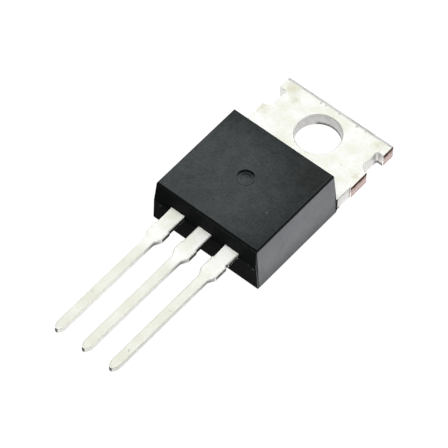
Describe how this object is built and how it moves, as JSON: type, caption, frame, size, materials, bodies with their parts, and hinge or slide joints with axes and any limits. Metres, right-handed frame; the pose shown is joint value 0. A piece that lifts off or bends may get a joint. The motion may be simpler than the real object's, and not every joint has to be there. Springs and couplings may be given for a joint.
{
  "type": "power transistor",
  "caption": "Power transistor: a drafted black epoxy body on a tinned copper heat tab with a screw hole, and a row of flat stamped solder leads.",
  "frame": {"origin": "on the screw hole's axis, at the heat tab's back face", "axes": "+Z out of the marked face along the screw hole, +Y towards the tab's free end, leads run out along -Y, +X to the right seen from the marked face"},
  "size_m": [0.01, 0.0291, 0.0044],
  "materials": {
    "epoxy": "fine spark-eroded matt, dark grey",
    "tinned_copper": "matt tin plate over copper, with bare copper where it was sheared after plating",
    "silicon": "polished silicon with aluminium metal on its top",
    "solder": "dull soft solder",
    "bond_wire": "bright drawn aluminium"
  },
  "bodies": {
    "root": {"epoxy_body": "epoxy", "heat_tab_and_drain_lead": "tinned_copper", "gate_lead": "tinned_copper", "source_lead": "tinned_copper", "silicon_die": "silicon", "die_solder": "solder", "gate_wire": "bond_wire", "source_wire_inner": "bond_wire", "source_wire_outer": "bond_wire"}
  },
  "joints": []
}
